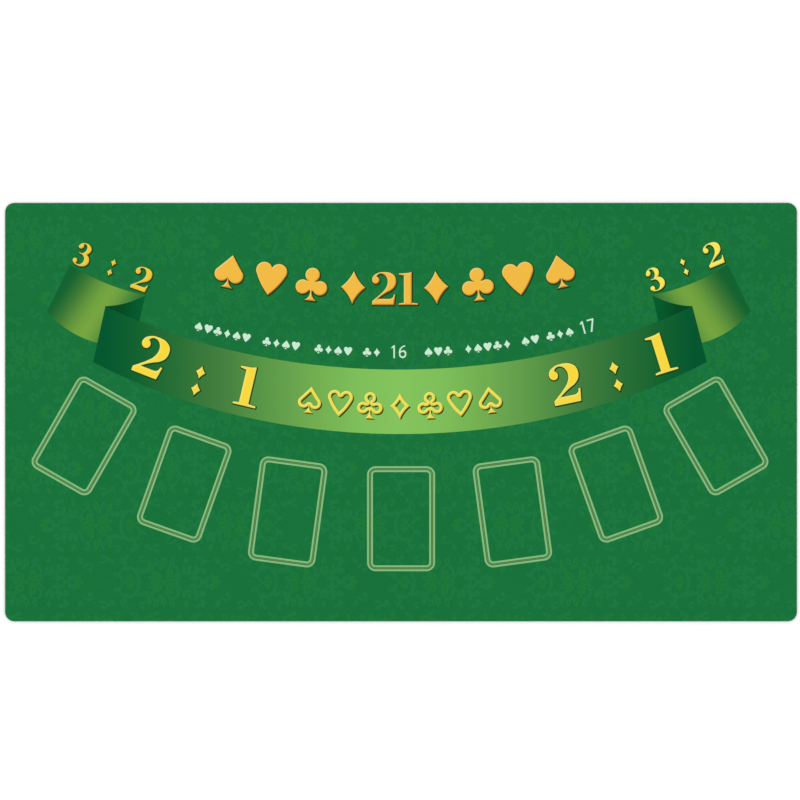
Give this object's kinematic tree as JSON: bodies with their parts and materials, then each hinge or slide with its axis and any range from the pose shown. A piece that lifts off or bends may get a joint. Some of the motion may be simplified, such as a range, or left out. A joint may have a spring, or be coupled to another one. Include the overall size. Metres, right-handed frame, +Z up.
{
  "type": "blackjack layout mat",
  "caption": "Thin rectangular rubber-backed cloth table mat with rounded corners, printed with a folded ribbon, betting boxes, card suits and odds numerals.",
  "frame": {"origin": "middle of the underside, on the surface that the mat lies on", "axes": "+X along the length of the mat to the dealer's left, +Y across it to the dealer's side, +Z up through the printed face"},
  "size_m": [1.2, 0.634, 0.0033],
  "materials": {
    "foam_rubber": "matt, embossed underside",
    "hot_melt": "dull film",
    "green_cloth": "matt fine knit, dyed green with a tone-on-tone ornament",
    "band_ink": "satin ink soaked into the knit, dark green at the ends and light green in the middle",
    "tail_ink": "satin ink soaked into the knit, dark green at the outer end",
    "fold_ink": "satin dark green ink",
    "box_line_ink": "matt pale green ink",
    "hairline_ink": "matt olive ink",
    "gold_ink": "satin gold ink",
    "shadow_ink": "matt dark olive ink",
    "white_ink": "matt white ink",
    "yellow_ink": "satin yellow ink"
  },
  "bodies": {
    "root": {"rubber_base": "foam_rubber", "adhesive_film": "hot_melt", "face_cloth": "green_cloth", "ribbon_band": "band_ink", "ribbon_fold_left": "fold_ink", "ribbon_fold_right": "fold_ink", "ribbon_tail_left": "tail_ink", "ribbon_tail_right": "tail_ink", "betting_box_1": "box_line_ink", "betting_box_2": "box_line_ink", "betting_box_3": "box_line_ink", "betting_box_4": "box_line_ink", "betting_box_5": "box_line_ink", "betting_box_6": "box_line_ink", "betting_box_7": "box_line_ink", "box_hairlines": "hairline_ink", "heading_shadow": "shadow_ink", "heading_emblems": "gold_ink", "rule_line": "white_ink", "ribbon_emblem_shadow": "shadow_ink", "ribbon_emblems": "yellow_ink", "odds_shadow": "shadow_ink", "odds_left": "yellow_ink", "odds_right": "yellow_ink", "payout_shadow": "shadow_ink", "payout_left": "yellow_ink", "payout_right": "yellow_ink"}
  },
  "joints": []
}
